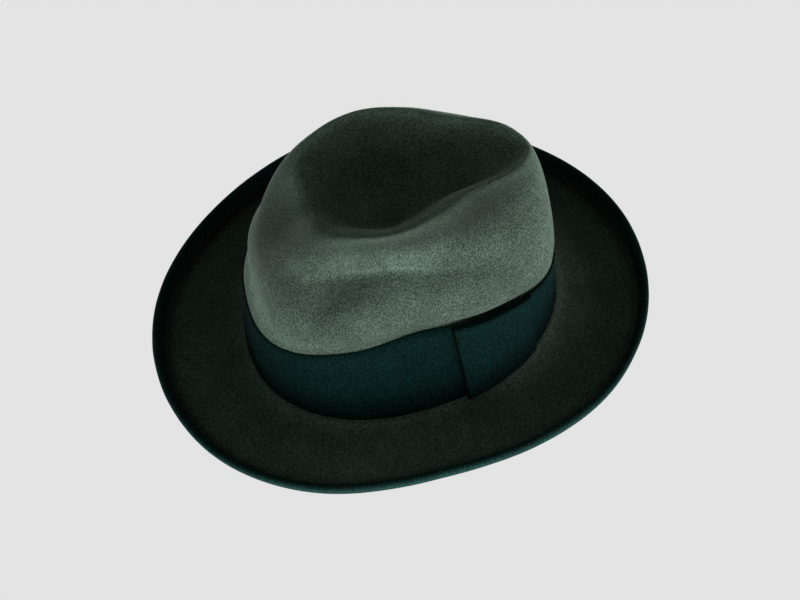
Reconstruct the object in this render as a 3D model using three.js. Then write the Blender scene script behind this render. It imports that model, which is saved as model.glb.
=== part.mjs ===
// Soft felt hat: a dented crown and a curled brim in one piece of felt, a ribbon band, a flat bow and a
// bound edge. Millimetres, +Z up. The front of the hat looks along -Y, and the bow side, the wearer's left,
// lies along +X.
// The origin lies under the middle of the hat, on the surface that it rests on.
// An angle runs round the hat: 0 is the front, a quarter turn the wearer's left, a half turn the back.
import * as THREE from "three";

// Crown
const crownWidth = 178; // across the foot, outside the felt
const crownLength = 199; // front to back at the foot, outside the felt
const crownHeight = 126; // from the middle level of the foot to the top of the side ridges
const dentDepth = 29; // from the top of the side ridges to the middle of the dent
const crownFootLevel = 12.5; // middle level of the foot above the surface
const crownFrontDrop = 6.5; // the foot is this much lower at the front and higher at the back
const crownSideRise = 3; // the foot is this much higher at the sides and lower at both ends
const crownSquareness = 2.15; // exponent of the foot's oval, where 2 is an ellipse
const footRadius = 2; // bend between crown and brim
const feltThickness = 2.2;

// Brim
const brimSideWidth = 48.8; // from the foot to the edge
const brimEndWidth = 57.3; // the same at the front and the back
const brimSquareness = 2.08;
const brimSideLift = 13.2; // how far the sides stand off the surface
const sideLiftSharpness = 6; // a higher exponent keeps the lift closer to the sides
const seatPress = 0.4; // how much of the felt is pressed flat where the brim rests
const seatWidth = 9; // level stretch of the brim before the roll of its edge
const curlRadius = 9.4; // upward roll of the edge

// Ribbon, bow and edge binding
const ribbonWidth = 46;
const ribbonThickness = 0.8;
const bindingWidth = 8; // on each face of the edge
const bindingThickness = 0.8;
const bowLength = 49; // along the band
const bowStart = 102; // degrees from the front to the foot of the folded end
const bowSlant = 5; // the top of the bow lies this much further back than its foot
const bowStandOff = 2.6; // how far the folded end stands off the band
const bowMargin = 0.3; // the bow ends this far inside each edge of the ribbon
const bowLayerGap = 0.2; // air between the bow's two layers at its sewn end
const fitGap = 0.3; // air between two pieces

// Sections of the crown from the front, 0, to the back, 180 degrees, alike on both sides.
// A reach is a share of the foot's half width and half length. A rise is a share of the height
// from the ribbon's top to the side ridges, and a drop a share of the dent's depth.
const sectionColumns = [
  "at", "ribbonReach", "bellyReach", "bellyRise", "shelfReach", "shelfRise", "pinchReach", "pinchRise",
  "ridgeReach", "ridgeDrop", "lipReach", "lipDrop", "floorReach", "floorDrop",
];
const crownSections = [
  [0, 0.935, 0.855, 0.165, 0.8, 0.35, 0.76, 0.55, 0.51, 0.41, 0.405, 0.48, 0.2, 0.82],
  [30, 0.925, 0.88, 0.17, 0.82, 0.38, 0.72, 0.595, 0.555, 0.13, 0.455, 0.255, 0.22, 0.87],
  [60, 0.81, 0.825, 0.18, 0.76, 0.415, 0.59, 0.645, 0.54, 0.03, 0.44, 0.19, 0.21, 0.93],
  [90, 0.73, 0.75, 0.145, 0.715, 0.395, 0.595, 0.62, 0.555, 0, 0.465, 0.16, 0.2, 0.97],
  [120, 0.86, 0.875, 0.12, 0.835, 0.345, 0.735, 0.535, 0.53, -0.005, 0.425, 0.22, 0.2, 0.95],
  [150, 1, 1.01, 0.145, 0.975, 0.385, 0.89, 0.59, 0.6, 0.09, 0.505, 0.28, 0.28, 0.87],
  [168, 0.99, 1, 0.17, 0.99, 0.425, 0.95, 0.64, 0.83, 0.28, 0.73, 0.41, 0.45, 0.76],
  [180, 0.98, 0.99, 0.17, 0.99, 0.44, 0.965, 0.66, 0.91, 0.43, 0.82, 0.54, 0.52, 0.67],
];

// The knots that the skin runs through, from the middle of the dent to the edge of the brim.
const knot = {
  centre: 1, floor: 2, lip: 3, ridge: 4, pinch: 5, shelf: 6, belly: 7, ribbonTop: 8, ribbonMiddle: 9,
  footTop: 10, footBend: 11, brimInner: 12, seatInner: 13, curlStart: 14, bindingStart: 15, curlMiddle: 16,
  edge: 17,
};
const stepsAfterKnot = {
  centre: 2, floor: 2, lip: 2, ridge: 3, pinch: 2, shelf: 2, belly: 2, ribbonTop: 2, ribbonMiddle: 2,
  brimInner: 3,
};
const stepsAround = 60;
const stepsAlongBow = 8;
const stepsUpBow = 4;

const fullTurn = 2 * Math.PI;
const nudge = 0.02; // a small step, for slopes and normals

// A column of the table at any angle, by cubic pieces that are level at the front and the back.
function crownShare(name, angle) {
  const column = sectionColumns.indexOf(name);
  const degrees = THREE.MathUtils.radToDeg(Math.acos(Math.cos(angle)));
  const last = crownSections.length - 1;
  let row = 0;
  while (row < last - 1 && degrees > crownSections[row + 1][0]) row += 1;
  const rise = (i) => crownSections[i + 1][column] - crownSections[i][column];
  const run = (i) => crownSections[i + 1][0] - crownSections[i][0];
  const slope = (i) => {
    if (i === 0 || i === last) return 0;
    const before = (rise(i - 1) / run(i - 1)) * run(i);
    const after = (rise(i) / run(i)) * run(i - 1);
    return (before + after) / (run(i - 1) + run(i));
  };
  const u = (degrees - crownSections[row][0]) / run(row);
  const ease = u * u * (3 - 2 * u);
  const startPull = u * (1 - u) * (1 - u) * slope(row);
  const endPull = u * u * (1 - u) * slope(row + 1);
  return crownSections[row][column] + rise(row) * ease + run(row) * (startPull - endPull);
}

// A point of an oval, for half sizes along X and Y.
function ovalPoint(angle, halfWidth, halfLength, squareness) {
  const sine = Math.sin(angle);
  const cosine = Math.cos(angle);
  const sum = Math.abs(sine) ** squareness + Math.abs(cosine) ** squareness;
  const scale = sum ** (-1 / squareness);
  return new THREE.Vector2(halfWidth * sine * scale, -halfLength * cosine * scale);
}

function footLevel(angle) {
  return crownFootLevel - crownFrontDrop * Math.cos(angle) - crownSideRise * Math.cos(2 * angle);
}

function crownPoint(angle, reach, level) {
  const foot = ovalPoint(angle, crownWidth / 2, crownLength / 2, crownSquareness);
  return new THREE.Vector3(foot.x * reach, foot.y * reach, level);
}

// The knots of the upper skin along one angle. The far side of the dent's floor comes ahead of the first.
function skinKnots(angle) {
  const top = crownFootLevel + crownHeight;
  const low = footLevel(angle) + footRadius + ribbonWidth;
  const onWall = (name) => crownPoint(
    angle, crownShare(name + "Reach", angle), low + (top - low) * crownShare(name + "Rise", angle));
  const inDent = (name, at = angle) => crownPoint(
    at, crownShare(name + "Reach", at), top - dentDepth * crownShare(name + "Drop", at));
  const ribbonReach = crownShare("ribbonReach", angle);

  const foot = ovalPoint(angle, crownWidth / 2, crownLength / 2, crownSquareness);
  const edge = ovalPoint(
    angle, crownWidth / 2 + brimSideWidth, crownLength / 2 + brimEndWidth, brimSquareness);
  const outward = edge.clone().sub(foot).normalize();
  const nearFoot = (out, up) =>
    new THREE.Vector3(foot.x + outward.x * out, foot.y + outward.y * out, footLevel(angle) + up);
  const sideLift = (brimSideLift + seatPress) * Math.abs(Math.sin(angle)) ** sideLiftSharpness;
  const nearEdge = (back, up) => new THREE.Vector3(
    edge.x - outward.x * back, edge.y - outward.y * back, feltThickness - seatPress + sideLift + up);
  const onCurl = (turn) =>
    nearEdge(curlRadius * (1 - Math.sin(turn)), curlRadius * (1 - Math.cos(turn)));
  const bendMiddle = footRadius * (1 - Math.SQRT1_2);
  const bindingTurn = Math.PI / 2 - bindingWidth / curlRadius;

  return [
    inDent("floor", angle + Math.PI),
    crownPoint(angle, 0, top - dentDepth),
    inDent("floor"),
    inDent("lip"),
    inDent("ridge"),
    onWall("pinch"),
    onWall("shelf"),
    onWall("belly"),
    crownPoint(angle, ribbonReach, low),
    crownPoint(angle, (1 + ribbonReach) / 2, low - ribbonWidth / 2),
    nearFoot(0, footRadius),
    nearFoot(bendMiddle, bendMiddle),
    nearFoot(footRadius, 0),
    nearEdge(curlRadius + seatWidth, 0),
    nearEdge(curlRadius, 0),
    onCurl(bindingTurn),
    onCurl((bindingTurn + Math.PI / 2) / 2),
    onCurl(Math.PI / 2),
  ];
}

// A point of the upper skin. A place is a knot's number, or lies between two of them.
function skinPoint(angle, place) {
  const knots = skinKnots(angle);
  const curve = new THREE.CatmullRomCurve3(knots, false, "centripetal");
  return curve.getPoint(place / (knots.length - 1));
}

// A point off the upper skin, along its normal.
function offSkin(angle, place, distance) {
  const beyond = Math.min(place + nudge, knot.edge);
  const along = skinPoint(angle, beyond).sub(skinPoint(angle, place - nudge));
  const across = skinPoint(angle + nudge, place).sub(skinPoint(angle - nudge, place));
  const normal = place === knot.centre ? new THREE.Vector3(0, 0, 1) : along.cross(across).normalize();
  return skinPoint(angle, place).addScaledVector(normal, distance);
}

// Places along the skin from one knot to another, with the steps that lie between them.
function placesBetween(first, last) {
  const places = [];
  Object.entries(knot).forEach(([name, place]) => {
    const steps = stepsAfterKnot[name] ?? 1;
    for (let i = 0; i < steps; i += 1) places.push(place + i / steps);
  });
  return places.filter((place) => place >= knot[first] && place <= knot[last]);
}

function ring(pointAt) {
  return Array.from({ length: stepsAround }, (_, i) => pointAt((i * fullTurn) / stepsAround));
}

// A closed body from rows of points. A row is a closed ring, or one point that ends the body there.
// Where neither end is a point, the last row joins the first. A square is split along its shorter diagonal.
function bodyFromRows(rows) {
  const points = rows.flat();
  const starts = rows.map((_, r) => rows.slice(0, r).flat().length);
  const joined = rows[0].length > 1 ? rows.length : rows.length - 1;
  const count = Math.max(...rows.map((row) => row.length));
  const triangles = [];
  for (let r = 0; r < joined; r += 1) {
    const next = (r + 1) % rows.length;
    for (let i = 0; i < count; i += 1) {
      const j = (i + 1) % count;
      const corner = (row, step) => starts[row] + (rows[row].length > 1 ? step : 0);
      const [a, b, c, d] = [corner(r, i), corner(r, j), corner(next, j), corner(next, i)];
      const slantsBack = points[a].distanceTo(points[c]) > points[b].distanceTo(points[d]);
      const halves = slantsBack ? [[a, b, d], [b, c, d]] : [[a, b, c], [a, c, d]];
      triangles.push(...halves.filter((corners) => new Set(corners).size === 3));
    }
  }
  const volume = triangles.reduce(
    (sum, [a, b, c]) => sum + points[a].dot(points[b].clone().cross(points[c])), 0);
  const outward = volume > 0 ? triangles : triangles.map(([a, b, c]) => [a, c, b]);
  const geometry = new THREE.BufferGeometry().setFromPoints(points);
  geometry.setIndex(outward.flat());
  geometry.computeVertexNormals();
  return geometry;
}

// The felt is pressed flat where its under side would sink into the surface.
function feltBody() {
  const places = placesBetween("centre", "edge");
  const row = (place, pointAt) => (place === knot.centre ? [pointAt(0)] : ring(pointAt));
  const upper = places.map((place) => row(place, (angle) => skinPoint(angle, place)));
  const under = places.map((place) => row(place, (angle) => {
    const point = offSkin(angle, place, -feltThickness);
    return point.setZ(Math.max(point.z, 0));
  }));
  return bodyFromRows([...upper, ...under.reverse()]);
}

function ribbonBand() {
  const places = placesBetween("ribbonTop", "footTop");
  const face = (distance) => places.map((place) => ring((angle) => offSkin(angle, place, distance)));
  return bodyFromRows([...face(fitGap), ...face(fitGap + ribbonThickness).reverse()]);
}

// The binding is folded over the edge: its rows run up the inner face, over the edge and down the outer one.
function brimBinding() {
  const places = placesBetween("bindingStart", "edge");
  const fold = (clear) => {
    const face = (distance) => places.map((place) => ring((angle) => {
      const point = offSkin(angle, place, distance);
      return place === knot.edge ? point.setZ(point.z + clear) : point;
    }));
    return [...face(clear), ...face(-feltThickness - clear).reverse()];
  };
  return bodyFromRows([...fold(fitGap), ...fold(fitGap + bindingThickness).reverse()]);
}

// The bow is a flattened loop of ribbon. Its middle line runs from the sewn end over the top layer, round
// the fold and back under it. X is the way along the band, Y the way off the band.
function bowPath() {
  const underShare = 0.3; // the under layer takes this share of the stand-off
  const foldRoom = 0.02; // the layers stop this share of the length short of each end
  const standOff = (along) => bowStandOff * (1 - along / bowLength) ** 1.5;
  const under = (along) => fitGap + ribbonThickness / 2 + standOff(along) * underShare;
  const over = (along) =>
    under(along) + ribbonThickness + bowLayerGap + standOff(along) * (1 - underShare);
  const middle = (along) => new THREE.Vector2(along, (under(along) + over(along)) / 2);
  const stations = Array.from({ length: stepsAlongBow + 1 }, (_, i) =>
    bowLength * (foldRoom + (1 - 2 * foldRoom) * (i / stepsAlongBow)));
  return [
    ...stations.map((along) => new THREE.Vector2(along, over(along))).reverse(),
    middle(0),
    ...stations.map((along) => new THREE.Vector2(along, under(along))),
    middle(bowLength),
  ];
}

function bow() {
  const path = bowPath();
  const start = THREE.MathUtils.degToRad(bowStart);
  const sides = [start - nudge, start + nudge].map((angle) => skinPoint(angle, knot.ribbonMiddle));
  const bandSpeed = sides[0].distanceTo(sides[1]) / (2 * nudge);
  const placeAt = (up) => {
    const inset = bowMargin / ribbonWidth;
    const share = inset + (1 - 2 * inset) * up;
    return knot.footTop + (knot.ribbonTop - knot.footTop) * share;
  };
  const face = (side) => Array.from({ length: stepsUpBow + 1 }, (_, level) => {
    const up = 1 - level / stepsUpBow;
    return path.map((point, i) => {
      const before = path.at(i - 1);
      const after = path[(i + 1) % path.length];
      const run = after.clone().sub(before).normalize();
      const along = point.x + bowSlant * up - (run.y * side * ribbonThickness) / 2;
      const out = point.y + (run.x * side * ribbonThickness) / 2;
      return offSkin(start + along / bandSpeed, placeAt(up), fitGap + ribbonThickness + out);
    });
  });
  return bodyFromRows([...face(1), ...face(-1).reverse()]);
}

function piece(name, geometry, color, roughness) {
  const material = new THREE.MeshStandardMaterial({ color, roughness, metalness: 0 });
  const mesh = new THREE.Mesh(geometry, material);
  mesh.name = name;
  return mesh;
}

const group = new THREE.Group();
group.add(piece("felt_body", feltBody(), 0x5d6f63, 0.95));
group.add(piece("ribbon_band", ribbonBand(), 0x123a38, 0.7));
group.add(piece("bow", bow(), 0x123a38, 0.7));
group.add(piece("brim_binding", brimBinding(), 0x15403f, 0.7));

export default group;
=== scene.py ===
# Soft felt hat with a ribbon band, a flat side bow and a bound brim, in metres.
# The front of the hat looks along -Y, the wearer's left with the bow is +X, and the hat rests on z = 0.
import math

import bpy
import numpy as np
from mathutils import Matrix, Vector, noise


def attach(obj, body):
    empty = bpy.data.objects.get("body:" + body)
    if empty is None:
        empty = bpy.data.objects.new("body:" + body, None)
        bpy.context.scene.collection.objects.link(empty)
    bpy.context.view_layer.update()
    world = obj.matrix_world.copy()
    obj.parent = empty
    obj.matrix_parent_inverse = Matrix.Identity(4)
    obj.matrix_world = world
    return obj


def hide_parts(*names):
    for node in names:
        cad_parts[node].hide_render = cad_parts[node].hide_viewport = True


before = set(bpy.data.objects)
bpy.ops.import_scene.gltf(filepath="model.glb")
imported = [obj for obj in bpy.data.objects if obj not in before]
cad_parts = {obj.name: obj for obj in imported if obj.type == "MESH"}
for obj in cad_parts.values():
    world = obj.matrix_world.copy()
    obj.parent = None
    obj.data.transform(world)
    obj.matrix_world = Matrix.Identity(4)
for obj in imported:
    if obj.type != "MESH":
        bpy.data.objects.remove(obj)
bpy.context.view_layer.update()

body = "root"            # the only one: nothing on the hat moves by itself

# Camera: the angle of the photograph, worked out from the lines of brim, ribbon and crown
view = {
    "azimuth": 83.11,      # degrees from the front round to the wearer's left
    "elevation": 53.28,
    "roll": -9.27,
    "distance": 0.983,
    "lens": 71.73,         # millimetres, as is the sensor
    "sensor": 36,
    "aimHeight": 0.06,
    "aimRight": 0.0057,
    "aimUp": -0.0287,
}


def makeCamera():
    azimuth, elevation, roll = (math.radians(view[name]) for name in ("azimuth", "elevation", "roll"))
    back = Vector((
        math.sin(azimuth) * math.cos(elevation),
        -math.cos(azimuth) * math.cos(elevation),
        math.sin(elevation),
    ))
    level = Vector((math.cos(azimuth), math.sin(azimuth), 0))
    right = level * math.cos(roll) + back.cross(level) * math.sin(roll)
    up = back.cross(right)
    aim = Vector((0, 0, view["aimHeight"])) + right * view["aimRight"] + up * view["aimUp"]
    data = bpy.data.cameras.new("camera")
    data.sensor_width = view["sensor"]
    data.lens = view["lens"]
    camera = bpy.data.objects.new("camera", data)
    bpy.context.scene.collection.objects.link(camera)
    turn = Matrix((right, up, back)).transposed().to_4x4()
    camera.matrix_world = Matrix.Translation(aim + back * view["distance"]) @ turn
    bpy.context.scene.camera = camera
    bpy.context.scene.view_settings.view_transform = "Standard"


makeCamera()
print("camera set")

# Studio: a pale floor that glows, wide lamps that lie on it and shine up, and little light from above.
# So what stands upright is light, and what faces up, such as the brim and the dent, stays dark.
studio = {
    "skyColor": (0.84, 1.0, 0.88),
    "skyStrength": 0.09,
    "floorSize": 60.0,
    "floorGap": 0.0002,      # how far it lies under the hat, so that no two faces share a plane
    "floorColor": (0.10, 0.10, 0.10),
    "floorRoughness": 0.9,
    "floorGlow": 0.76,
}
floorLamps = {
    "powers": (2.6, 5.8, 9.0, 8.4, 4.8, 2.4),    # one after another round the hat, from its front by its left
    "distance": 0.95,
    "height": 0.003,
    "width": 0.95,
    "depth": 1.1,
    "color": (1.0, 1.0, 0.98),
}
backdrop = {
    "radius": 28.0,
    "height": 6.0,
    "sides": 96,
}


# A lamp that lies on the floor and shines up, unseen by the camera
def makeLamp(name, turn, power):
    data = bpy.data.lights.new(name, "AREA")
    data.shape = "RECTANGLE"
    data.size = floorLamps["width"]
    data.size_y = floorLamps["depth"]
    data.energy = power
    data.color = floorLamps["color"]
    lamp = bpy.data.objects.new(name, data)
    bpy.context.scene.collection.objects.link(lamp)
    away = floorLamps["distance"]
    lamp.location = (away * math.sin(turn), -away * math.cos(turn), floorLamps["height"])
    lamp.rotation_euler = (math.pi, 0, turn)
    lamp.visible_camera = False


def makeStudio():
    world = bpy.data.worlds.new("studioSky")
    world.use_nodes = True
    sky = world.node_tree.nodes["Background"]
    sky.inputs["Color"].default_value = (*studio["skyColor"], 1)
    sky.inputs["Strength"].default_value = studio["skyStrength"]
    bpy.context.scene.world = world
    powers = floorLamps["powers"]
    for i, power in enumerate(powers):
        makeLamp("floorLamp" + str(i + 1), 2 * math.pi * i / len(powers), power)
    half = studio["floorSize"] / 2
    mesh = bpy.data.meshes.new("floor")
    level = -studio["floorGap"]
    corners = [(-half, -half, level), (half, -half, level), (half, half, level), (-half, half, level)]
    mesh.from_pydata(corners, [], [(0, 1, 2, 3)])
    floor = bpy.data.objects.new("floor", mesh)
    bpy.context.scene.collection.objects.link(floor)
    return floor


# A low round wall far away, as pale as the floor, so that the floor has no dark horizon
def makeBackdrop():
    sides = backdrop["sides"]
    turns = [2 * math.pi * i / sides for i in range(sides)]
    ring = [(backdrop["radius"] * math.sin(turn), backdrop["radius"] * math.cos(turn)) for turn in turns]
    points = [(x, y, 0) for x, y in ring] + [(x, y, backdrop["height"]) for x, y in ring]
    faces = [(i, (i + 1) % sides, sides + (i + 1) % sides, sides + i) for i in range(sides)]
    mesh = bpy.data.meshes.new("backdrop")
    mesh.from_pydata(points, [], faces)
    wall = bpy.data.objects.new("backdrop", mesh)
    bpy.context.scene.collection.objects.link(wall)
    return wall


floor = makeStudio()
wall = makeBackdrop()
print("studio set")


# Node maths: a Wire is a socket that can be added, multiplied and so on
class Wire:
    def __init__(self, graph, socket):
        self.graph = graph
        self.socket = socket

    def __add__(self, other):
        return self.graph.math("ADD", self, other)

    def __radd__(self, other):
        return self.graph.math("ADD", other, self)

    def __sub__(self, other):
        return self.graph.math("SUBTRACT", self, other)

    def __rsub__(self, other):
        return self.graph.math("SUBTRACT", other, self)

    def __mul__(self, other):
        return self.graph.math("MULTIPLY", self, other)

    def __rmul__(self, other):
        return self.graph.math("MULTIPLY", other, self)


# A node tree in the making
class Graph:
    def __init__(self, tree):
        self.tree = tree
        tree.nodes.clear()

    # One node: its settings first, then a value or a wire for each socket, by number, name or identifier
    def add(self, kind, settings=None, inputs=None, out=0):
        node = self.tree.nodes.new(kind)
        for name, value in (settings or {}).items():
            setattr(node, name, value)
        for key, value in (inputs or {}).items():
            socket = self.find(node.inputs, key)
            if isinstance(value, Wire):
                self.tree.links.new(value.socket, socket)
            elif socket.type == "RGBA" and len(value) == 3:
                socket.default_value = (*value, 1)
            else:
                socket.default_value = value
        return Wire(self, self.find(node.outputs, out))

    def find(self, sockets, key):
        if isinstance(key, int):
            return sockets[key]
        return next(s for s in sockets if key in (s.identifier, s.name) and s.enabled)

    def math(self, operation, *values):
        return self.add("ShaderNodeMath", {"operation": operation}, dict(enumerate(values)))


# A material in the making
class Finish(Graph):
    def __init__(self, name):
        self.material = bpy.data.materials.new(name)
        self.material.use_nodes = True
        super().__init__(self.material.node_tree)

    def place(self, name):
        return self.add("ShaderNodeTexCoord", out=name)

    def attribute(self, name):
        return self.add("ShaderNodeAttribute", {"attribute_name": name}, out="Fac")

    def noise(self, place, size, detail=2.0, roughness=0.5, distortion=0.0):
        inputs = {
            "Vector": place,
            "Scale": 1 / size,
            "Detail": detail,
            "Roughness": roughness,
            "Distortion": distortion,
        }
        return self.add("ShaderNodeTexNoise", {"noise_dimensions": "3D"}, inputs, "Fac")

    def stretch(self, place, scale):
        return self.add("ShaderNodeMapping", {"vector_type": "POINT"}, {"Vector": place, "Scale": scale})

    def ramp(self, value, low, high, toLow=0.0, toHigh=1.0):
        inputs = {0: value, 1: low, 2: high, 3: toLow, 4: toHigh}
        return self.add("ShaderNodeMapRange", {"interpolation_type": "SMOOTHSTEP", "clamp": True}, inputs)

    def mix(self, factor, first, second, blend="MIX"):
        inputs = {"Factor_Float": factor, "A_Color": first, "B_Color": second}
        return self.add("ShaderNodeMix", {"data_type": "RGBA", "blend_type": blend}, inputs, "Result_Color")

    def bump(self, height, depth, strength=1.0, under=None):
        inputs = {"Height": height, "Distance": depth, "Strength": strength}
        if under is not None:
            inputs["Normal"] = under
        return self.add("ShaderNodeBump", {}, inputs, "Normal")

    # A grey of one wire, to multiply a colour with
    def grey(self, value):
        return self.add("ShaderNodeCombineColor", {}, {0: value, 1: value, 2: value})

    # The shader's own sockets take plain values and wires alike
    def finish(self, inputs):
        shader = self.add("ShaderNodeBsdfPrincipled", {}, inputs, "BSDF")
        last = self.tree.nodes.new("ShaderNodeOutputMaterial")
        self.tree.links.new(shader.socket, last.inputs["Surface"])
        return self.material


# Where most values of a noise lie, and of a fine one
noiseRange = (0.3, 0.7)
grainRange = (0.34, 0.68)

# Felt: shares are of the colour, and sizes and depths are in metres
feltLook = {
    "deep": (0.105, 0.156, 0.121),
    "pale": (0.165, 0.240, 0.186),
    "brimPaintedShade": 0.6,                     # painted shade: the upward-facing brim's felt, against the crown's
    "mottleSize": 0.022,
    "patchSize": 0.077,
    "grainSize": 0.0010,
    "fibreSize": 0.00035,
    "fibreStretch": (1, 1, 0.35),
    "toneShares": (0.45, 0.35, 0.5),      # of mottle, patches and grain in the tone
    "toneShift": -0.12,
    "toneRange": (0.25, 0.8),             # tones that are all deep and all pale
    "mottleRange": (0.35, 0.66),
    "mottleShades": (0.93, 1.07),
    "grainShades": (0.42, 1.58),          # between the grains and on them
    "grainDepth": 0.0004,
    "fibreDepth": 0.00015,
    "rubbedShare": 0.35,                  # how far rubbed felt turns pale
    "lintSize": 0.012,                    # from one speck of lint to the next
    "lintEdge": (0.025, 0.04),            # the specks' own size, as shares of lintSize
    "lintColor": (0.16, 0.17, 0.15),
    "lintShare": 0.5,
    "roughness": (0.89, 1.0),
    "specular": 0.25,
    "sheen": 0.25,
    "sheenRoughness": 0.3,
    "sheenTint": (0.68, 0.86, 0.74),
}


def makeFeltFinish():
    f = Finish("furFelt")
    place = f.place("Object")
    mottle = f.noise(place, feltLook["mottleSize"], detail=4.0, roughness=0.6, distortion=0.4)
    patches = f.noise(place, feltLook["patchSize"])
    grain = f.noise(place, feltLook["grainSize"], detail=3.0, roughness=0.7)
    fibrePlace = f.stretch(place, feltLook["fibreStretch"])
    fibre = f.noise(fibrePlace, feltLook["fibreSize"], roughness=0.6, distortion=0.8)
    ofMottle, ofPatches, ofGrain = feltLook["toneShares"]
    tone = mottle * ofMottle + patches * ofPatches + grain * ofGrain + feltLook["toneShift"]
    color = f.mix(f.ramp(tone, *feltLook["toneRange"]), feltLook["deep"], feltLook["pale"])
    blotches = f.ramp(mottle, *feltLook["mottleRange"], *feltLook["mottleShades"])
    grains = f.ramp(grain, *grainRange, *feltLook["grainShades"])
    # Painted shade: the brim's felt is darker than the crown's
    shade = f.ramp(f.attribute("crown"), 0, 1, feltLook["brimPaintedShade"], 1.0)
    # The felt's painted light and shade multiply the colour, with the brim's painted shade, the grain and the
    # blotches
    color = f.mix(1.0, color, f.grey(shade * grains * blotches * f.attribute("nap")), "MULTIPLY")
    color = f.mix(f.attribute("rubbed") * feltLook["rubbedShare"], color, feltLook["pale"])
    cells = {"Vector": place, "Scale": 1 / feltLook["lintSize"]}
    lint = f.add("ShaderNodeTexVoronoi", {"feature": "F1"}, cells, "Distance")
    speck = f.ramp(lint, *feltLook["lintEdge"], 1.0, 0.0)
    color = f.mix(speck * feltLook["lintShare"], color, feltLook["lintColor"])
    soft = f.bump(grain, feltLook["grainDepth"], strength=0.55)
    fine = f.bump(fibre, feltLook["fibreDepth"], strength=0.5, under=soft)
    return f.finish({
        "Base Color": color,
        "Roughness": f.ramp(mottle, *noiseRange, *feltLook["roughness"]),
        "Specular IOR Level": feltLook["specular"],
        "Sheen Weight": feltLook["sheen"],
        "Sheen Roughness": feltLook["sheenRoughness"],
        "Sheen Tint": feltLook["sheenTint"],
        "Normal": fine,
    })


ribPitch = 0.00105            # of the band, the bow and the binding

# Ribbon: a deep and a light thread, mixed by slubs across the ribbon, clouds all over it and a fine grain
ribbonLook = {
    "thread": (0.0042, 0.031, 0.030),
    "light": (0.0085, 0.058, 0.054),
    "threadPitch": 0.00028,
    "slubSize": 0.000945,
    "slubStretch": (1, 0.02, 1),
    "cloudSize": 0.03,
    "grainSize": 0.0009,
    "toneShares": (0.5, 0.35, 0.45),      # of slubs, clouds and grain in the tone
    "toneShift": -0.15,
    "toneRange": (0.25, 0.75),            # tones that are all deep and all light
    "grainShades": (0.35, 1.65),          # between the grains and on them
    "paintedShadeByHeight": (0.0, 0.024, 0.5, 1.12),      # painted shade: heights on the ribbon, and the shares of its colour there, darker towards the band's foot
    "ribHollowShade": 0.72,                       # painted shade: share of the colour that is left between two ribs
    "weaveShares": (0.5, 0.12, 0.3),      # of ribs, threads and grain in the relief
    "weaveDepth": 0.00012,
    "roughness": (0.74, 0.94),
    "specular": 0.08,
}
bindingLook = {
    **ribbonLook,
    "thread": (0.019, 0.074, 0.068),
    "light": (0.034, 0.135, 0.122),
    # Painted shade: the binding's face that turns in towards the crown is darker
    "paintedShadeByHeight": (0.0058, 0.0122, 0.26, 1.15),
    "ribHollowShade": 0.85,
}


# The weave follows the piece's own UV map, laid out in metres along and across the ribbon
def makeRibbonFinish(name, look):
    f = Finish(name)
    place = f.place("UV")
    along = f.add("ShaderNodeSeparateXYZ", {}, {0: place}, "X")
    across = f.add("ShaderNodeSeparateXYZ", {}, {0: place}, "Y")
    rib = f.math("COSINE", along * (2 * math.pi / ribPitch))
    thread = f.math("SINE", across * (2 * math.pi / look["threadPitch"]))
    slub = f.noise(f.stretch(place, look["slubStretch"]), look["slubSize"], roughness=0.6)
    cloud = f.noise(f.place("Object"), look["cloudSize"], detail=3.0, roughness=0.6)
    grain = f.noise(f.place("Object"), look["grainSize"], detail=3.0, roughness=0.7)
    ofSlub, ofCloud, ofGrain = look["toneShares"]
    tone = slub * ofSlub + cloud * ofCloud + grain * ofGrain + look["toneShift"]
    color = f.mix(f.ramp(tone, *look["toneRange"]), look["thread"], look["light"])
    # Painted shade in the hollows between the ribs
    ribHollowShade = f.ramp(rib, -1, 1, look["ribHollowShade"], 1.0)
    grains = f.ramp(grain, *grainRange, *look["grainShades"])
    # Painted shade by height on the ribbon
    paintedShadeByHeight = f.ramp(across, *look["paintedShadeByHeight"])
    # The band's ends and the bow's fold get their painted shade from the piece's attribute
    color = f.mix(1.0, color, f.grey(ribHollowShade * grains * paintedShadeByHeight * f.attribute("paintedShade")), "MULTIPLY")
    ofRib, ofThread, ofGrain = look["weaveShares"]
    return f.finish({
        "Base Color": color,
        "Roughness": f.ramp(slub, *noiseRange, *look["roughness"]),
        "Specular IOR Level": look["specular"],
        "Normal": f.bump(rib * ofRib + thread * ofThread + grain * ofGrain, look["weaveDepth"], strength=0.6),
    })


# Plain finishes, for the sewing thread and the floor: one colour with a faint speckle
plainLook = {
    "speckleSize": 0.004,
    "speckleShade": 0.97,
    "threadColor": (0.012, 0.055, 0.052),
    "threadRoughness": 0.6,
}


def makePlainFinish(name, color, roughness, glow=0.0):
    f = Finish(name)
    speckle = f.noise(f.place("Object"), plainLook["speckleSize"], detail=3.0)
    shaded = tuple(plainLook["speckleShade"] * c for c in color)
    return f.finish({
        "Base Color": f.mix(speckle, shaded, color),
        "Roughness": roughness,
        "Emission Color": (1, 1, 1),
        "Emission Strength": glow,
    })


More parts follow.
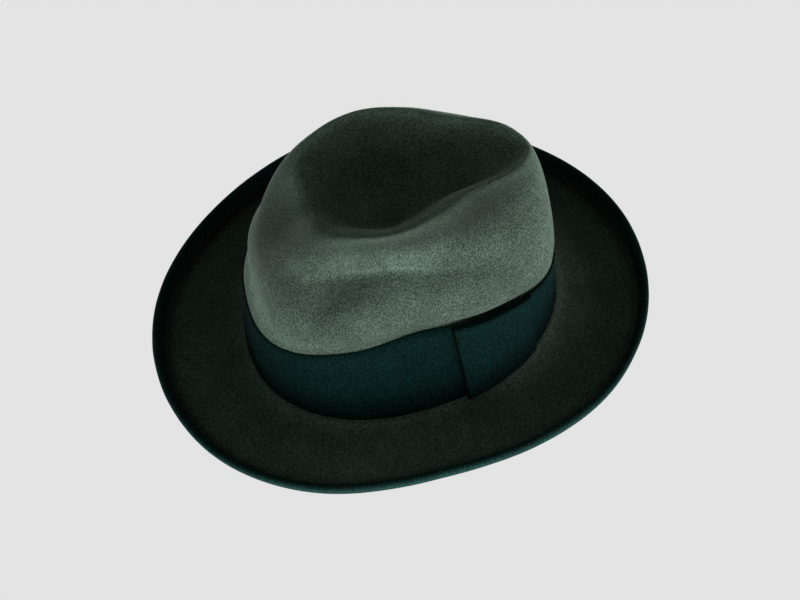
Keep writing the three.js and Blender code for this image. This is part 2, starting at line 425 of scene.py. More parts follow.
# The skin, the hat's surface. A place is a knot's number on it, from the dent's middle to the brim's edge. An
# angle runs round from the front by the wearer's left.
hat = {
    "crownWidth": 0.178,
    "crownLength": 0.199,
    "crownHeight": 0.126,
    "dentDepth": 0.029,
    "crownFootLevel": 0.0125,
    "crownFrontDrop": 0.0065,      # how far the foot lies lower at the front, and higher at the back
    "crownSideRise": 0.003,        # how far it lies higher at the sides, and lower at both ends
    "crownSquareness": 2.15,
    "footRadius": 0.002,
    "feltThickness": 0.0022,
    "brimSideWidth": 0.0488,
    "brimEndWidth": 0.0573,
    "brimSquareness": 2.08,
    "brimSideLift": 0.0132,        # how far the brim's sides stand off what the hat rests on
    "sideLiftSharpness": 6,
    "seatPress": 0.0004,           # how far its ends are pressed flat
    "seatWidth": 0.009,
    "curlRadius": 0.0094,
    "ribbonWidth": 0.046,
    "ribbonThickness": 0.0008,
    "bindingWidth": 0.008,
    "bindingThickness": 0.0008,
    "fitGap": 0.0003,
}

# Sections of the crown by degrees from the front. A reach is a share of the foot's oval, a rise is a share of
# the height from the ribbon's top to the crown's, and a drop is a share of the dent's depth.
sectionColumns = [
    "at", "ribbonReach", "bellyReach", "bellyRise", "shelfReach", "shelfRise", "pinchReach", "pinchRise",
    "ridgeReach", "ridgeDrop", "lipReach", "lipDrop", "floorReach", "floorDrop",
]
crownSections = np.array([
    [0, 0.935, 0.855, 0.165, 0.8, 0.35, 0.76, 0.55, 0.51, 0.41, 0.405, 0.48, 0.2, 0.82],
    [30, 0.925, 0.88, 0.17, 0.82, 0.38, 0.72, 0.595, 0.555, 0.13, 0.455, 0.255, 0.22, 0.87],
    [60, 0.81, 0.825, 0.18, 0.76, 0.415, 0.59, 0.645, 0.54, 0.03, 0.44, 0.19, 0.21, 0.93],
    [90, 0.73, 0.75, 0.145, 0.715, 0.395, 0.595, 0.62, 0.555, 0, 0.465, 0.16, 0.2, 0.97],
    [120, 0.86, 0.875, 0.12, 0.835, 0.345, 0.735, 0.535, 0.53, -0.005, 0.425, 0.22, 0.2, 0.95],
    [150, 1, 1.01, 0.145, 0.975, 0.385, 0.89, 0.59, 0.6, 0.09, 0.505, 0.28, 0.28, 0.87],
    [168, 0.99, 1, 0.17, 0.99, 0.425, 0.95, 0.64, 0.83, 0.28, 0.73, 0.41, 0.45, 0.76],
    [180, 0.98, 0.99, 0.17, 0.99, 0.44, 0.965, 0.66, 0.91, 0.43, 0.82, 0.54, 0.52, 0.67],
])
knotNames = (
    "centre", "floor", "lip", "ridge", "pinch", "shelf", "belly", "ribbonTop", "ribbonMiddle", "footTop",
    "footBend", "brimInner", "seatInner", "curlStart", "bindingStart", "curlMiddle", "edge",
)
knot = {name: i for i, name in enumerate(knotNames, 1)}       # knot 0 is on the dent's other side
nudge = 0.02              # half the step that slopes of the skin are taken over, in places and in radians
onKnot = 1e-9             # a place this little under a knot counts as on it
leastGap = 1e-6           # between knots
tiny = 1e-15              # lets a direction of no length be divided by its length


def anglesRound(count):
    return np.arange(count) * (2 * math.pi / count)


# Degrees from the front, the same on both sides of the hat
def fromFront(angle):
    return np.degrees(np.arccos(np.clip(np.cos(angle), -1, 1)))


# Degrees from one place round the hat, negative on one side of it
def degreesFrom(angle, at):
    return np.mod(np.degrees(angle) - at + 180, 360) - 180


# One column of the crown's sections at an angle, by a smooth curve through its rows
def crownShare(name, angle):
    column = crownSections[:, sectionColumns.index(name)]
    at = crownSections[:, 0]
    degrees = fromFront(angle)
    row = np.clip(np.searchsorted(at, degrees) - 1, 0, len(at) - 2)
    run = np.diff(at)
    rise = np.diff(column)
    slope = np.zeros(len(at))
    slope[1:-1] = (rise[:-1] / run[:-1] * run[1:] + rise[1:] / run[1:] * run[:-1]) / (run[:-1] + run[1:])
    u = (degrees - at[row]) / run[row]
    pull = u * (1 - u) ** 2 * slope[row] - u * u * (1 - u) * slope[row + 1]
    return column[row] + rise[row] * u * u * (3 - 2 * u) + run[row] * pull


def ovalPoint(angle, halfWidth, halfLength, squareness):
    sine, cosine = np.sin(angle), np.cos(angle)
    scale = (np.abs(sine) ** squareness + np.abs(cosine) ** squareness) ** (-1 / squareness)
    return np.stack([halfWidth * sine * scale, -halfLength * cosine * scale], -1)


# The knots of the skin for a row of angles
def skinKnots(angle):
    top = hat["crownFootLevel"] + hat["crownHeight"]
    level = hat["crownFootLevel"] - hat["crownFrontDrop"] * np.cos(angle)
    level = level - hat["crownSideRise"] * np.cos(2 * angle)
    low = level + hat["footRadius"] + hat["ribbonWidth"]
    halfWidth, halfLength = hat["crownWidth"] / 2, hat["crownLength"] / 2

    def point(flat, height):
        return np.concatenate([flat, np.broadcast_to(height, angle.shape)[..., None]], -1)

    def foot(at):
        return ovalPoint(at, halfWidth, halfLength, hat["crownSquareness"])

    def onWall(name):
        reach = crownShare(name + "Reach", angle)[..., None]
        return point(foot(angle) * reach, low + (top - low) * crownShare(name + "Rise", angle))

    def inDent(name, at):
        reach = crownShare(name + "Reach", at)[..., None]
        return point(foot(at) * reach, top - hat["dentDepth"] * crownShare(name + "Drop", at))

    brimWidth, brimLength = halfWidth + hat["brimSideWidth"], halfLength + hat["brimEndWidth"]
    edge = ovalPoint(angle, brimWidth, brimLength, hat["brimSquareness"])
    outward = edge - foot(angle)
    outward /= np.linalg.norm(outward, axis=-1, keepdims=True)
    ribbonReach = crownShare("ribbonReach", angle)[..., None]
    lift = (hat["brimSideLift"] + hat["seatPress"]) * np.abs(np.sin(angle)) ** hat["sideLiftSharpness"]
    seat = hat["feltThickness"] - hat["seatPress"] + lift
    curl = hat["curlRadius"]

    def nearFoot(out, up):
        return point(foot(angle) + outward * out, level + up)

    def nearEdge(back, up):
        return point(edge - outward * back, seat + up)

    def onCurl(turn):
        return nearEdge(curl * (1 - math.sin(turn)), curl * (1 - math.cos(turn)))

    bendMiddle = hat["footRadius"] * (1 - math.sqrt(0.5))
    bindingTurn = math.pi / 2 - hat["bindingWidth"] / curl
    return np.stack([
        inDent("floor", angle + math.pi),
        point(foot(angle) * 0, top - hat["dentDepth"]),
        inDent("floor", angle),
        inDent("lip", angle),
        inDent("ridge", angle),
        onWall("pinch"),
        onWall("shelf"),
        onWall("belly"),
        point(foot(angle) * ribbonReach, low),
        point(foot(angle) * (1 + ribbonReach) / 2, low - hat["ribbonWidth"] / 2),
        nearFoot(0, hat["footRadius"]),
        nearFoot(bendMiddle, bendMiddle),
        nearFoot(hat["footRadius"], 0),
        nearEdge(curl + hat["seatWidth"], 0),
        nearEdge(curl, 0),
        onCurl(bindingTurn),
        onCurl((bindingTurn + math.pi / 2) / 2),
        onCurl(math.pi / 2),
    ], -2)


# Points of the skin for a row of angles and a column of places, by a centripetal Catmull-Rom curve
def skinPoints(angle, place):
    knots = skinKnots(angle)
    last = knots.shape[-2] - 1
    start = np.clip(np.floor(place + onKnot).astype(int), 0, last - 1)
    u = (place - start)[None, :, None]
    beyond = 2 * knots[:, [last]] - knots[:, [last - 1]]
    knots = np.concatenate([knots, beyond], 1)
    a, b, c, d = (knots[:, np.maximum(start + step, 0)] for step in (-1, 0, 1, 2))

    # The square root of the distance
    def gap(p, q):
        return np.maximum(np.sum((p - q) ** 2, -1, keepdims=True) ** 0.25, leastGap)

    before, along, after = gap(a, b), gap(b, c), gap(c, d)
    startPull = ((b - a) / before - (c - a) / (before + along) + (c - b) / along) * along
    endPull = ((c - b) / along - (d - b) / (along + after) + (d - c) / after) * along
    # The ribbon presses the felt straight
    pressed = ((start >= knot["ribbonTop"]) & (start < knot["footTop"]))[None, :, None]
    startPull = np.where(pressed, c - b, startPull)
    endPull = np.where(pressed, c - b, endPull)
    return (b + startPull * u + (3 * c - 3 * b - 2 * startPull - endPull) * u ** 2
            + (2 * b - 2 * c + startPull + endPull) * u ** 3)


# Soft felt is never quite even: small swells and ripples, the same for all that lies on it
uneven = {
    "swell": 0.00045,
    "swellSize": 0.055,
    "swellShift": 3.7,        # which part of the noise it is read from
    "ripple": 0.00012,
    "rippleSize": 0.017,
    "rippleShift": 9.1,
}


def unevenness(points):
    height = 0
    for name in ("swell", "ripple"):
        spots = points.reshape(-1, 3) / uneven[name + "Size"] + uneven[name + "Shift"]
        height = height + np.array([noise.noise(Vector(p)) for p in spots]) * uneven[name]
    return height.reshape(*points.shape[:-1], 1)


# Points of the uneven skin, which way is outwards there, and which way leads down the hat
def skinFrame(angle, place):
    along = skinPoints(angle, np.minimum(place + nudge, knot["edge"])) - skinPoints(angle, place - nudge)
    across = skinPoints(angle + nudge, place) - skinPoints(angle - nudge, place)
    normal = np.cross(along, across)
    normal /= np.linalg.norm(normal, axis=-1, keepdims=True) + tiny
    normal[:, place == knot["centre"]] = (0, 0, 1)
    along /= np.linalg.norm(along, axis=-1, keepdims=True)
    points = skinPoints(angle, place)
    return points + normal * unevenness(points), normal, along


def offSkin(angle, place, distance):
    points, normal, _ = skinFrame(angle, place)
    return points + normal * distance


# Small folds and dents that the felt alone has, and not what lies on it. Each row is degrees from the front,
# their spread, place on the skin, its spread, metres outwards, and whether the other side has it too.
feltFolds = {
    "gapBehindBow": (121, 15, 7.95, 0.32, -0.0036, False),
    "creaseLip": (76, 38, 4.90, 0.12, 0.0007, True),
    "creaseGroove": (76, 38, 5.12, 0.16, -0.0010, True),
    "frontFlank": (350, 32, 6.1, 0.95, 0.0044, False),
    "frontCorner": (338, 32, 4.1, 0.75, 0.0056, False),
    "farFlank": (302, 26, 6.3, 0.9, -0.0066, False),
    "farTop": (272, 52, 4.0, 0.5, 0.0020, False),
    "sideDimple": (48, 11, 5.85, 0.40, -0.0018, False),
    "underRidge": (90, 50, 4.22, 0.20, -0.0009, True),
}

# Painted light and shade: the felt looks lighter or darker by a share, as light falls on it. Rows as above.
paintedFeltShading = {
    "crease": (72, 36, 4.97, 0.055, 0.42, True),
    "underCrease": (60, 26, 5.45, 0.35, -0.22, False),
    "aboveCrease": (84, 44, 4.74, 0.16, 0.15, False),
    "patch": (50, 13, 5.95, 0.50, -0.26, False),
    "ridge": (95, 60, 3.98, 0.07, 0.30, False),
    "underRidge": (92, 64, 4.33, 0.24, -0.60, False),
    "underRidgeBack": (145, 26, 4.48, 0.34, -0.38, False),
    "farRidge": (272, 90, 3.9, 0.34, 1.0, False),
    "dent": (90, 400, 1.9, 1.1, -0.26, True),
    "front": (354, 38, 4.9, 0.95, -0.60, False),
    "frontFoot": (20, 30, 7.35, 0.50, 0.52, False),
    "gap": (123, 18, 7.92, 0.34, -0.80, False),
    "farBrim": (275, 72, 14.6, 3.2, -0.72, False),
    "backBrim": (196, 20, 15.0, 2.0, -0.30, False),
    "nearCurl": (70, 85, 14.7, 0.42, -0.45, False),
    "farWall": (285, 75, 3.0, 0.5, -0.32, False),
    "nearBrim": (55, 70, 13.3, 0.7, 0.34, False),
    "brimBend": (90, 400, 12.05, 0.2, 0.55, True),
    "curl": (90, 400, 14.6, 0.5, -0.30, True),
}


def spotSum(table, angle, place):
    total = np.zeros((len(angle), len(place)))
    for at, spread, middle, placeSpread, amount, bothSides in table.values():
        turn = fromFront(angle) - at if bothSides else degreesFrom(angle, at)
        far = (turn[:, None] / spread) ** 2 + ((place[None, :] - middle) / placeSpread) ** 2
        total += amount * np.exp(-far)
    return total


# One closed mesh of rows. Each row is a loop of points, joined to the next one, and the last to the first.
# Where the first and the last row are one point, they close the mesh. Values are attributes of the points,
# and uv gives a corner's place on the map by its row and its number there.
def closedMesh(name, rows, values, uv=None):
    around = max(len(row) for row in rows)
    starts = np.cumsum([0] + [len(row) for row in rows])
    joined = len(rows) if len(rows[0]) > 1 else len(rows) - 1
    faces = []
    corners = []
    for r in range(joined):
        after = (r + 1) % len(rows)
        for i in range(around):
            j = (i + 1) % around
            if len(rows[r]) == 1:
                face = [(r, 0, i), (after, j, j), (after, i, i)]
            elif len(rows[after]) == 1:
                face = [(r, i, i), (r, j, j), (after, 0, i)]
            else:
                face = [(r, i, i), (r, j, j), (after, j, j), (after, i, i)]
            faces.append([int(starts[row]) + at for row, at, _ in face])
            corners += [(row, i + 1 if at == 0 and i == around - 1 else at) for row, _, at in face]
    points = np.concatenate(rows)
    mesh = bpy.data.meshes.new(name)
    mesh.from_pydata(points.tolist(), [], faces)
    if uv is not None:
        layer = mesh.uv_layers.new(name="weave")
        layer.data.foreach_set("uv", np.array([uv(row, at) for row, at in corners], np.float32).ravel())
    for attribute, data in values.items():
        layer = mesh.attributes.new(attribute, "FLOAT", "POINT")
        layer.data.foreach_set("value", np.asarray(data, np.float32))
    if meshVolume(points, faces) < 0:
        mesh.flip_normals()
    mesh.shade_smooth()
    return mesh


# Six times the volume, below zero where faces point inwards
def meshVolume(points, faces):
    total = 0.0
    for size in (3, 4):
        some = np.array([face for face in faces if len(face) == size], int).reshape(-1, size)
        for k in range(1, size - 1):
            a, b, c = points[some[:, 0]], points[some[:, k]], points[some[:, k + 1]]
            total += float(np.einsum("ij,ij->", a, np.cross(b, c)))
    return total


def addPiece(name, mesh, material, slot, *nodes):
    if not mesh.materials:
        mesh.materials.append(material)
    piece = bpy.data.objects.new(name, mesh)
    bpy.context.scene.collection.objects.link(piece)
    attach(piece, body)
    if nodes:
        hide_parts(*nodes)
    return piece


# Felt body: both faces of the felt, from the middle of the dent to the edge
feltMesh = {
    "around": 360,
    "steps": {                # from each knot to the next
        "centre": 8, "floor": 14, "lip": 6, "ridge": 20, "pinch": 16, "shelf": 10, "belly": 10,
        "ribbonTop": 6, "ribbonMiddle": 6, "footTop": 3, "footBend": 3, "brimInner": 14, "seatInner": 5,
        "curlStart": 5, "bindingStart": 3, "curlMiddle": 3, "edge": 1,
    },
    "softenPasses": 260,
    "softenRate": 0.5,
    "softenReach": 0.75,      # in places, up and down from the ridge
    "softenReachPower": 4,    # how sharply it ends there
    "softenSides": 0.05,      # how much the side ridges are rounded, against the front one
    "softenFrontSpread": 34.0,
    "rubbedAt": ("ridge", "edge"),    # where hands have rubbed the felt pale
    "rubbedReach": 0.6,
    "paintedLightRange": (0.06, 2),    # the darkest and the lightest share that the painted light and shade may add up to
}


# The felt rounds over between the dent and the crown's front, and a little along the side ridges. This is how
# far each point moves when the lines down the hat are evened out there.
def rounding(points, angle, place):
    front = np.exp(-(fromFront(angle) / feltMesh["softenFrontSpread"]) ** 2)
    share = feltMesh["softenSides"] + (1 - feltMesh["softenSides"]) * front
    fromRidge = (place - knot["ridge"]) / feltMesh["softenReach"]
    window = np.exp(-fromRidge ** feltMesh["softenReachPower"])
    pull = (share[:, None] * window[None, :])[:, 1:-1, None] * feltMesh["softenRate"]
    soft = points.copy()
    for _ in range(feltMesh["softenPasses"]):
        soft[:, 1:-1] += pull * ((soft[:, 2:] + soft[:, :-2]) / 2 - soft[:, 1:-1])
    return soft - points


def makeFeltBody(material):
    angle = anglesRound(feltMesh["around"])
    steps = feltMesh["steps"]
    place = np.array([knot[name] + i / steps[name] for name in knot for i in range(steps[name])])
    folds = spotSum(feltFolds, angle, place)[..., None]
    upper = offSkin(angle, place, folds)
    moved = rounding(upper, angle, place)
    under = offSkin(angle, place, folds - hat["feltThickness"]) + moved
    upper = upper + moved
    under[..., 2] = np.maximum(under[..., 2], 0)
    # From the middle of the dent out to the edge, and back on the under side
    rows = [upper[:1, 0]] + [upper[:, k] for k in range(1, len(place))]
    rows += [under[:, k] for k in range(len(place) - 1, 0, -1)] + [under[:1, 0]]
    along = np.concatenate([place, place[::-1]])
    counts = [len(row) for row in rows]
    crown = np.clip((knot["brimInner"] - along) / (knot["brimInner"] - knot["footTop"]), 0, 1)
    near = [np.abs(along - knot[name]) / feltMesh["rubbedReach"] for name in feltMesh["rubbedAt"]]
    rubbed = np.clip(1 - np.array(near), 0, 1).sum(0)
    # Painted light and shade from the table above, as shares of the felt's colour
    tone = 1 + spotSum(paintedFeltShading, angle, place)
    paintedTones = [tone[:1, 0]] + [tone[:, k] for k in range(1, len(place))]
    values = {
        "crown": np.repeat(crown, counts),
        "rubbed": np.repeat(rubbed, counts),
        "nap": np.clip(np.concatenate(paintedTones + paintedTones[::-1]), *feltMesh["paintedLightRange"]),
    }
    mesh = closedMesh("felt_body", rows, values)
    return addPiece("felt_body_felt", mesh, material, "felt", "felt_body")


# Ribbon: ribbed cloth, with small loops where the ribs turn at its two edges
ribbonMesh = {
    "ribs": 560,
    "ribSteps": 4,
    "ribDepth": 0.00014,
    "loop": 0.0001,
    "rowsAcross": 9,
    "lift": 0.0006,       # most that the top edge stands off the felt, near the bow
    "liftAt": 121.0,      # degrees from the front
    "liftSpread": 20.0,
    "shadedEnds": [(0, 42, 0.52), (180, 50, 0.70)],    # painted shade: degrees from the front, spread, share
}


# Ribs as heights from 0 to 1, at points round the hat
def ribHeight(count, steps):
    return 0.5 - 0.5 * np.cos(2 * math.pi * np.arange(count) / steps)


# The band and the bow stand off the felt at their top, where the crown falls away behind the bow
def bandLift(angle, down):
    side = np.degrees(angle)[:, None, None] - ribbonMesh["liftAt"]
    return ribbonMesh["lift"] * np.exp(-(side / ribbonMesh["liftSpread"]) ** 2) * (1 - down) ** 2


# Painted shade: what is left of the ribbon's colour round the hat, darker at the front and at the back
def paintedShadeShare(angle):
    share = np.ones(len(angle))
    for at, spread, amount in ribbonMesh["shadedEnds"]:
        share -= amount * np.exp(-(degreesFrom(angle, at) / spread) ** 2)
    return share


def makeRibbonBand(material):
    count = ribbonMesh["ribs"] * ribbonMesh["ribSteps"]
    angle = anglesRound(count)
    place = np.linspace(knot["ribbonTop"], knot["footTop"], ribbonMesh["rowsAcross"])
    rib = ribHeight(count, ribbonMesh["ribSteps"])[:, None, None]
    down = np.linspace(0, 1, len(place))[None, :, None]
    points, normal, along = skinFrame(angle, place)
    inner = points + normal * (hat["fitGap"] + bandLift(angle, down))
    outer = inner + normal * (hat["ribbonThickness"] - ribbonMesh["ribDepth"] * (1 - rib))
    for face in (inner, outer):
        face[:, 0] -= along[:, 0] * rib[:, 0] * ribbonMesh["loop"]
        face[:, -1] += along[:, -1] * rib[:, 0] * ribbonMesh["loop"]
    middle = len(place) // 2
    rows = [outer[:, k] for k in range(len(place))] + [inner[:, k] for k in (len(place) - 1, middle, 0)]
    run = np.arange(count + 1) * (ribPitch / ribbonMesh["ribSteps"])
    height = hat["ribbonWidth"] * np.array([*np.linspace(1, 0, len(place)), 0, 0.5, 1])
    # Painted shade round the band, darker at the front and at the back
    paintedShade = np.tile(paintedShadeShare(angle), len(rows))
    mesh = closedMesh("ribbon_band", rows, {"paintedShade": paintedShade}, lambda row, at: (run[at], height[row]))
    piece = addPiece("ribbon_band_ribbon", mesh, material, "ribbon", "ribbon_band")
    return piece


# Bow: a flat loop of the same ribbon, folded free at the front and sewn down at the back
bowMesh = {
    "length": 0.049,
    "start": 102.0,         # degrees from the front to the foot of the folded end
    "slant": 0.005,
    "standOff": 0.0026,
    "footFlare": 1.3,       # share of the stand-off at the foot of the fold
    "topFlare": 0.6,
    "flarePower": 1.5,      # how fast it closes towards the sewn end
    "margin": -0.0003,      # how far inside the ribbon's edges it ends: it stands a little proud of them
    "layerGap": 0.0002,
    "underShare": 0.3,
    "foldRoom": 0.001,
    "linePoints": 60,       # on each layer, and the next on each fold
    "foldPoints": 12,
    "rowsAcross": 13,
    "foldPaintedShadow": 0.96,      # painted shadow: how much darker the ribbon is along the fold
    "foldPaintedShadowReach": 0.0011,
}


# The folded ribbon's middle line, as distances along the band and off it, and the run to each of its points
def bowLine(flare):
    length, thick, room = bowMesh["length"], hat["ribbonThickness"], bowMesh["foldRoom"]
    along = np.linspace(room, length - room, bowMesh["linePoints"])
    away = bowMesh["standOff"] * flare * (1 - along / length) ** bowMesh["flarePower"]
    under = hat["fitGap"] + thick / 2 + away * bowMesh["underShare"]
    over = under + thick + bowMesh["layerGap"] + away * (1 - bowMesh["underShare"])
    turn = np.linspace(0, math.pi, bowMesh["foldPoints"])[1:-1]

    def fold(at, side):
        middle, half = (over[at] + under[at]) / 2, (over[at] - under[at]) / 2
        return np.stack([along[at] + side * room * np.sin(turn), middle + half * np.cos(turn)], -1)

    top = np.stack([along, over], -1)[::-1]
    low = np.stack([along, under], -1)
    line = np.concatenate([top, fold(0, -1), low, fold(-1, 1)[::-1], top[:1]])
    run = np.concatenate([[0], np.cumsum(np.linalg.norm(np.diff(line, axis=0), axis=1))])
    return line, run


# The same line at even steps
def bowPath(flare, count):
    line, run = bowLine(flare)
    at = np.arange(count) * (run[-1] / count)
    return np.stack([np.interp(at, run, line[:, 0]), np.interp(at, run, line[:, 1])], -1)


# The angles round the hat at distances along the bow
def bowAngle(along):
    start = math.radians(bowMesh["start"])
    place = np.array([float(knot["ribbonMiddle"])])
    sides = skinPoints(np.array([start - nudge, start + nudge]), place)[:, 0]
    return start + along * (2 * nudge) / float(np.linalg.norm(sides[1] - sides[0]))


def makeBow(material):
    _, length = bowLine(1.0)
    ribs = round(length[-1] / ribPitch)
    count = ribs * ribbonMesh["ribSteps"]
    rib = ribHeight(count, ribbonMesh["ribSteps"])
    inset = bowMesh["margin"] / hat["ribbonWidth"]
    faces = {1: [], -1: []}
    ups = np.linspace(1, 0, bowMesh["rowsAcross"])
    for up in ups:
        flare = bowMesh["footFlare"] + (bowMesh["topFlare"] - bowMesh["footFlare"]) * up
        path = bowPath(flare, count)
        run = np.roll(path, -1, 0) - np.roll(path, 1, 0)
        run /= np.linalg.norm(run, axis=1, keepdims=True)
        share = inset + (1 - 2 * inset) * up
        place = np.array([knot["footTop"] + (knot["ribbonTop"] - knot["footTop"]) * share])
        for side in faces:
            half = hat["ribbonThickness"] / 2 - ribbonMesh["ribDepth"] * (1 - rib)
            angle = bowAngle(path[:, 0] + bowMesh["slant"] * up - run[:, 1] * side * half)
            points, normal, along = skinFrame(angle, place)
            away = hat["fitGap"] + hat["ribbonThickness"] + path[:, 1] + run[:, 0] * side * half
            lift = bandLift(angle, 1 - share)
            ring = (points + normal * (away[:, None, None] + lift))[:, 0]
            if up in (0, 1):
                ring += along[:, 0] * (rib * ribbonMesh["loop"] * (1 - 2 * up))[:, None]
            faces[side].append(ring)
    run = np.arange(count + 1) * (ribPitch / ribbonMesh["ribSteps"])
    height = hat["ribbonWidth"] * np.concatenate([ups, ups[::-1]])
    rows = faces[1] + faces[-1][::-1]
    path = bowPath(1.0, count)
    # Painted shadow along the folded end, where the fold stands off the band
    fold = 1 - bowMesh["foldPaintedShadow"] * np.exp(-(path[:, 0] / bowMesh["foldPaintedShadowReach"]) ** 2)
    paintedShade = np.tile(paintedShadeShare(bowAngle(path[:, 0])) * fold, len(rows))
    mesh = closedMesh("bow", rows, {"paintedShade": paintedShade}, lambda row, at: (run[at], height[row]))
    piece = addPiece("bow_ribbon", mesh, material, "ribbon", "bow")
    return piece


# Binding: a narrower ribbed ribbon, folded over the edge of the brim
bindingMesh = {
    "ribs": 720,
    "ribSteps": 3,
    "ribDepth": 0.00012,
    "loop": 0.0001,
    "rowsUp": 6,          # on each face of the brim, and the next over its edge
    "rowsOver": 5,
    "innerRows": 3,       # the same for the side that faces the felt
}


def makeBinding(material):
    count = bindingMesh["ribs"] * bindingMesh["ribSteps"]
    angle = anglesRound(count)
    rib = ribHeight(count, bindingMesh["ribSteps"])[:, None]
    felt, gap, thick = hat["feltThickness"], hat["fitGap"], hat["bindingThickness"]

    # The way up one face, over the edge and down the other, at a distance from the felt
    def fold(clear, rowsUp, rowsOver):
        place = np.linspace(knot["bindingStart"], knot["edge"], rowsUp)
        points, normal, along = skinFrame(angle, place)
        up = [points[:, k] + normal[:, k] * clear for k in range(rowsUp)]
        down = [points[:, k] - normal[:, k] * (felt + clear) for k in range(rowsUp)]
        centre = points[:, -1] - normal[:, -1] * (felt / 2)
        radius = felt / 2 + clear
        turns = np.linspace(0, math.pi, rowsOver + 2)[1:-1]
        over = [centre + (normal[:, -1] * math.cos(t) + along[:, -1] * math.sin(t)) * radius for t in turns]
        for row in (up, down):
            row[0] = row[0] - along[:, 0] * rib * bindingMesh["loop"]
        return up + over + down[::-1]

    ribbed = gap + thick - bindingMesh["ribDepth"] * (1 - rib)
    outer = fold(ribbed, bindingMesh["rowsUp"], bindingMesh["rowsOver"])
    inner = fold(gap, bindingMesh["innerRows"], bindingMesh["innerRows"])
    rows = outer + inner[::-1]
    height = np.concatenate([np.linspace(0, 1, len(outer)), np.linspace(1, 0, len(inner))])
    height *= 2 * hat["bindingWidth"]
    run = np.arange(count + 1) * (ribPitch / bindingMesh["ribSteps"])
    paintedShade = np.ones(count * len(rows))
    mesh = closedMesh("brim_binding", rows, {"paintedShade": paintedShade}, lambda row, at: (run[at], height[row]))
    return addPiece("brim_binding_ribbon", mesh, material, "binding", "brim_binding")


# The binding is one ribbon, laid once round the brim's edge and folded over it lengthwise. This measures the
# edge's length, and nothing uses it.
def declareBinding():
    edge = skinPoints(anglesRound(bindingMesh["ribs"]), np.array([float(knot["edge"])]))[:, 0]
    length = float(np.linalg.norm(np.roll(edge, -1, 0) - edge, axis=1).sum())


# Stitches: a row on each face of the binding, grown along a line by Geometry Nodes
stitchRow = {
    "pitch": 0.0031,
    "length": 0.0021,
    "width": 0.00042,
    "unevenness": 0.14,
    "seed": 7,
    "fromStart": 0.2,      # in places, from the binding's start towards the edge
    "pathSteps": 1440,
}


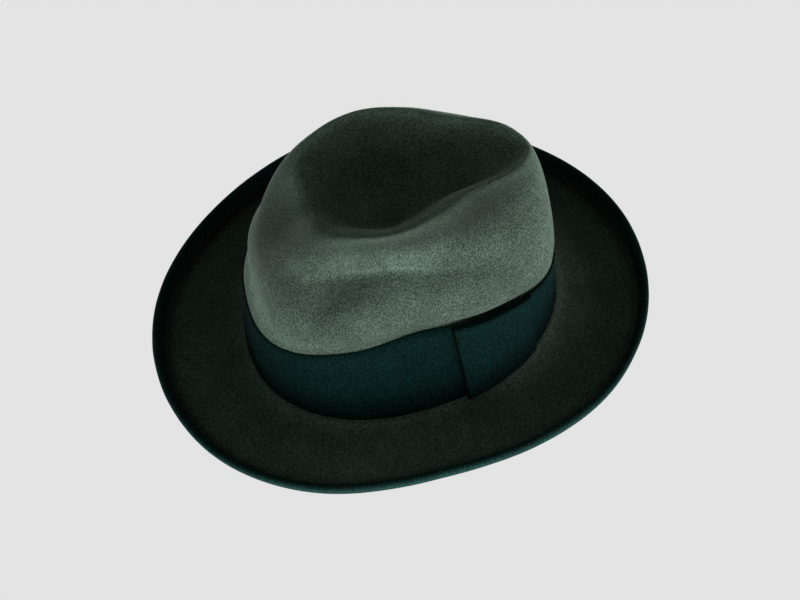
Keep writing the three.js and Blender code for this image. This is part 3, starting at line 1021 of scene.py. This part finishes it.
def makeStitchTree():
    tree = bpy.data.node_groups.new("stitchRow", "GeometryNodeTree")
    kinds = {
        "Path": "Geometry", "Pitch": "Float", "Length": "Float", "Width": "Float", "Unevenness": "Float",
        "Seed": "Int", "Thread": "Material",
    }
    for name, kind in kinds.items():
        tree.interface.new_socket(name, in_out="INPUT", socket_type="NodeSocket" + kind)
    tree.interface.new_socket("Stitches", in_out="OUTPUT", socket_type="NodeSocketGeometry")
    g = Graph(tree)

    def given(name):
        return g.add("NodeGroupInput", out=name)

    line = g.add("GeometryNodeMeshToCurve", {}, {"Mesh": given("Path")}, "Curve")
    spacing = {"Curve": line, "Length": given("Pitch")}
    points = g.add("GeometryNodeResampleCurve", {"mode": "LENGTH"}, spacing, "Curve")
    # A ball one metre wide, brought to a stitch's length and width
    bead = g.add("GeometryNodeMeshUVSphere", {}, {"Segments": 6, "Rings": 5, "Radius": 0.5}, "Mesh")
    size = g.add("ShaderNodeCombineXYZ", {}, {0: given("Length"), 1: given("Width"), 2: given("Width")})
    stitch = g.add("GeometryNodeTransform", {}, {"Geometry": bead, "Scale": size}, "Geometry")
    tangent = g.add("GeometryNodeInputTangent", out="Tangent")
    turn = g.add("FunctionNodeAlignRotationToVector", {"axis": "X"}, {"Vector": tangent}, "Rotation")
    sizes = {"Min": 1 - given("Unevenness"), "Max": 1 + given("Unevenness"), "Seed": given("Seed")}
    scale = g.add("FunctionNodeRandomValue", {"data_type": "FLOAT"}, sizes, "Value")
    placed = g.add("GeometryNodeInstanceOnPoints", {}, {
        "Points": points, "Instance": stitch, "Rotation": turn, "Scale": scale,
    }, "Instances")
    real = g.add("GeometryNodeRealizeInstances", {}, {"Geometry": placed}, "Geometry")
    smooth = g.add("GeometryNodeSetShadeSmooth", {}, {"Geometry": real}, "Geometry")
    done = g.add("GeometryNodeSetMaterial", {}, {"Geometry": smooth, "Material": given("Thread")}, "Geometry")
    last = tree.nodes.new("NodeGroupOutput")
    tree.links.new(done.socket, last.inputs[0])
    return tree


# What a tree grows on a mesh, as a plain mesh
def grow(tree, mesh, values):
    carrier = bpy.data.objects.new("carrier", mesh)
    bpy.context.scene.collection.objects.link(carrier)
    modifier = carrier.modifiers.new("grow", "NODES")
    modifier.node_group = tree
    for item in tree.interface.items_tree:
        if item.name in values:
            modifier[item.identifier] = values[item.name]
    deps = bpy.context.evaluated_depsgraph_get()
    grown = bpy.data.meshes.new_from_object(carrier.evaluated_get(deps), depsgraph=deps)
    carrier.modifiers.clear()
    bpy.data.objects.remove(carrier)
    return grown


# Closed lines of edges, for stitches to grow along
def loopMesh(loops):
    edges = []
    for loop in loops:
        start = len(edges)
        edges += [(start + i, start + (i + 1) % len(loop)) for i in range(len(loop))]
    mesh = bpy.data.meshes.new("stitchLine")
    mesh.from_pydata(np.concatenate(loops).tolist(), edges, [])
    return mesh


def makeStitches(material):
    angle = anglesRound(stitchRow["pathSteps"])
    place = np.array([knot["bindingStart"] + stitchRow["fromStart"]])
    out = hat["fitGap"] + hat["bindingThickness"]
    loops = [offSkin(angle, place, distance)[:, 0] for distance in (out, -hat["feltThickness"] - out)]
    sizes = ("pitch", "length", "width", "unevenness", "seed")
    values = {name.capitalize(): stitchRow[name] for name in sizes}
    values["Thread"] = material
    grown = grow(makeStitchTree(), loopMesh(loops), values)
    return addPiece("binding_stitches", grown, material, "binding")


paleFinish = makePlainFinish("paleFloor", studio["floorColor"], studio["floorRoughness"], studio["floorGlow"])
floor.data.materials.append(paleFinish)
wall.data.materials.append(paleFinish)

ribbonFinish = makeRibbonFinish("ribbedRibbon", ribbonLook)
bindingFinish = makeRibbonFinish("ribbedBinding", bindingLook)
threadFinish = makePlainFinish("sewingThread", plainLook["threadColor"], plainLook["threadRoughness"])
makeFeltBody(makeFeltFinish())
print("felt body made")
makeRibbonBand(ribbonFinish)
makeBow(ribbonFinish)
print("ribbon band and bow made")
binding = makeBinding(bindingFinish)
stitches = makeStitches(threadFinish)
declareBinding()
print("binding made")
